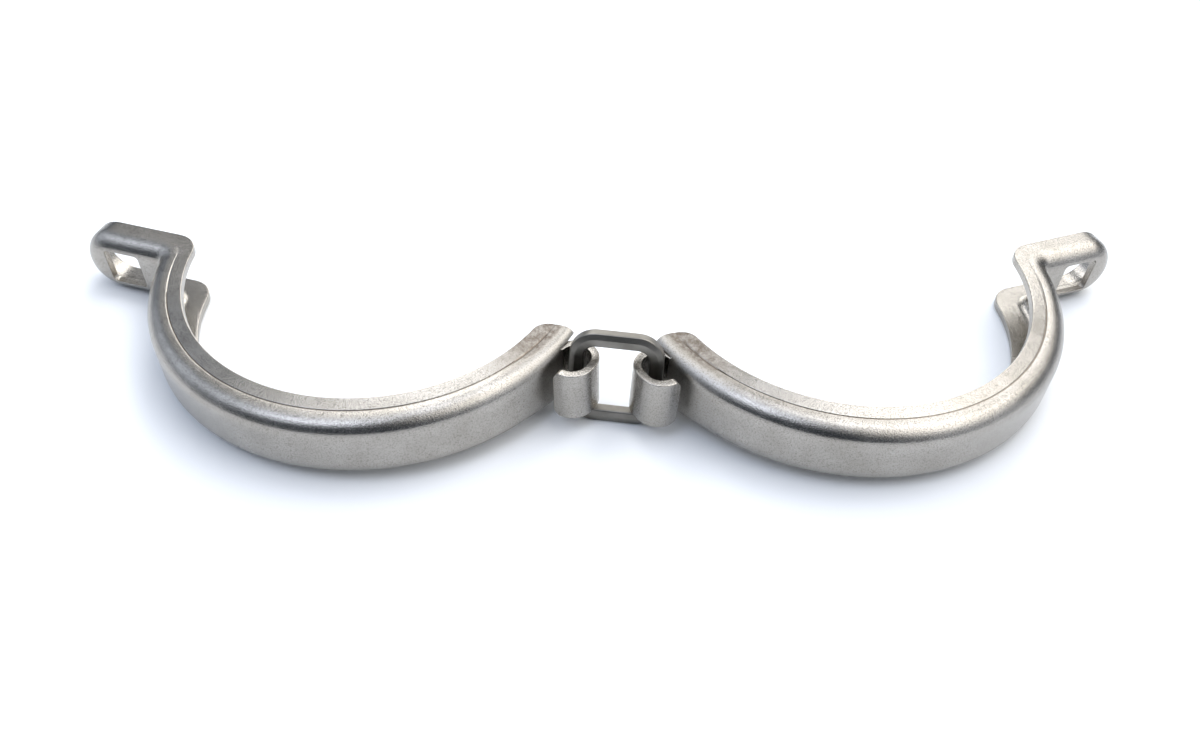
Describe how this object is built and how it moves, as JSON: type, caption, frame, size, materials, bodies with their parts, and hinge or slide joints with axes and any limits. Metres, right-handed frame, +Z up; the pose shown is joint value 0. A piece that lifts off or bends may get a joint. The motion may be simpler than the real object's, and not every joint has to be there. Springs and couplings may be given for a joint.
{
  "type": "v-band clamp",
  "caption": "Hinged V-band clamp lying open: two pressed channel halves with rolled hooks on a closed link and hollow bolt lugs with square holes.",
  "frame": {"origin": "on the table under the middle of the opened clamp's bounding box", "axes": "+X along the hinge link from the left half to the right half, +Y from the viewer's side to the far side where the lugs point, +Z up from the table and nearly along both hinge axes"},
  "size_m": [0.2224, 0.0852, 0.0202],
  "materials": {
    "pressed_stainless": "satin",
    "link_stainless": "satin"
  },
  "bodies": {
    "link": {"hinge_link": "link_stainless"},
    "left_half": {"left_clamp_half": "pressed_stainless"},
    "right_half": {"right_clamp_half": "pressed_stainless"}
  },
  "joints": [
    {"name": "left_hinge", "type": "hinge", "parent": "link", "child": "left_half", "pos_m": [-0.00146, -0.01739, 0.00915], "axis": [-0.0199, 0, 0.9998], "range_deg": [-74, 46]},
    {"name": "right_hinge", "type": "hinge", "parent": "link", "child": "right_half", "pos_m": [0.01394, -0.01739, 0.00915], "axis": [0.0225, 0, 0.9997], "range_deg": [-64, 56]}
  ]
}
